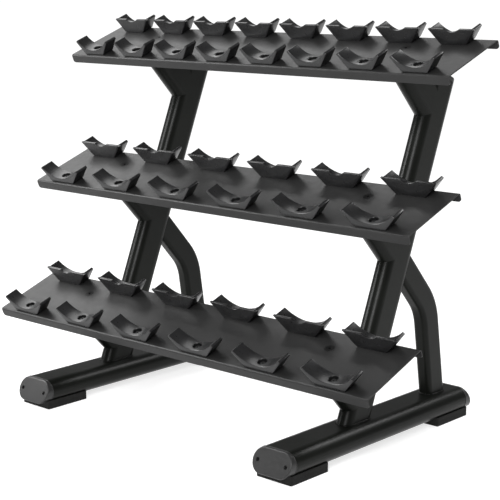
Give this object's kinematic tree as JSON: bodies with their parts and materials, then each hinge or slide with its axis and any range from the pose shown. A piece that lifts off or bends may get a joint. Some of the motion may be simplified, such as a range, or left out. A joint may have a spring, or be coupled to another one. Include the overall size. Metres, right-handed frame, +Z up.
{
  "type": "dumbbell rack",
  "caption": "Free-standing dumbbell rack: sloped steel shelves with moulded saddles, carried by two leaning side frames on floor tubes with rubber pads.",
  "frame": {"origin": "centre of the footprint, on the floor", "axes": "+X along the shelves to the right as seen from the loading side, +Y from the loading side to the back, +Z up"},
  "size_m": [1.433, 0.8346, 1.1455],
  "materials": {
    "frame_paint": "satin powder coat, very dark warm grey",
    "shelf_paint": "fine-textured matte powder coat, charcoal grey",
    "saddle_plastic": "moulded plastic with a fine matte grain, dark charcoal",
    "cap_plastic": "moulded plastic, charcoal grey",
    "pad_rubber": "moulded rubber, near black",
    "black_screws": "black-coated steel socket screws",
    "zinc_nuts": "zinc-plated steel"
  },
  "bodies": {
    "root": {"left_base_tube": "frame_paint", "left_upright": "frame_paint", "left_upright_cap": "cap_plastic", "left_rear_brace": "frame_paint", "left_front_end_cap": "cap_plastic", "left_front_foot_pad": "pad_rubber", "left_rear_end_cap": "cap_plastic", "left_rear_foot_pad": "pad_rubber", "right_base_tube": "frame_paint", "right_upright": "frame_paint", "right_upright_cap": "cap_plastic", "right_rear_brace": "frame_paint", "right_front_end_cap": "cap_plastic", "right_front_foot_pad": "pad_rubber", "right_rear_end_cap": "cap_plastic", "right_rear_foot_pad": "pad_rubber", "cap_anchor_bars": "frame_paint", "end_cap_screws": "black_screws", "foot_pad_screws": "black_screws", "bottom_shelf": "shelf_paint", "bottom_left_arm": "frame_paint", "bottom_left_mounting_plate": "frame_paint", "bottom_right_arm": "frame_paint", "bottom_right_mounting_plate": "frame_paint", "bottom_saddle_pair_1": "saddle_plastic", "bottom_saddle_pair_2": "saddle_plastic", "bottom_saddle_pair_3": "saddle_plastic", "bottom_saddle_pair_4": "saddle_plastic", "bottom_saddle_pair_5": "saddle_plastic", "bottom_saddle_pair_6": "saddle_plastic", "middle_shelf": "shelf_paint", "middle_left_arm": "frame_paint", "middle_left_mounting_plate": "frame_paint", "middle_right_arm": "frame_paint", "middle_right_mounting_plate": "frame_paint", "middle_saddle_pair_1": "saddle_plastic", "middle_saddle_pair_2": "saddle_plastic", "middle_saddle_pair_3": "saddle_plastic", "middle_saddle_pair_4": "saddle_plastic", "middle_saddle_pair_5": "saddle_plastic", "middle_saddle_pair_6": "saddle_plastic", "top_shelf": "shelf_paint", "top_left_arm": "frame_paint", "top_left_mounting_plate": "frame_paint", "top_right_arm": "frame_paint", "top_right_mounting_plate": "frame_paint", "top_saddle_pair_1": "saddle_plastic", "top_saddle_pair_2": "saddle_plastic", "top_saddle_pair_3": "saddle_plastic", "top_saddle_pair_4": "saddle_plastic", "top_saddle_pair_5": "saddle_plastic", "top_saddle_pair_6": "saddle_plastic", "top_saddle_pair_7": "saddle_plastic", "top_saddle_pair_8": "saddle_plastic", "shelf_bolts": "black_screws", "shelf_bolt_nuts": "zinc_nuts", "saddle_screws": "black_screws", "saddle_nuts": "zinc_nuts"}
  },
  "joints": []
}
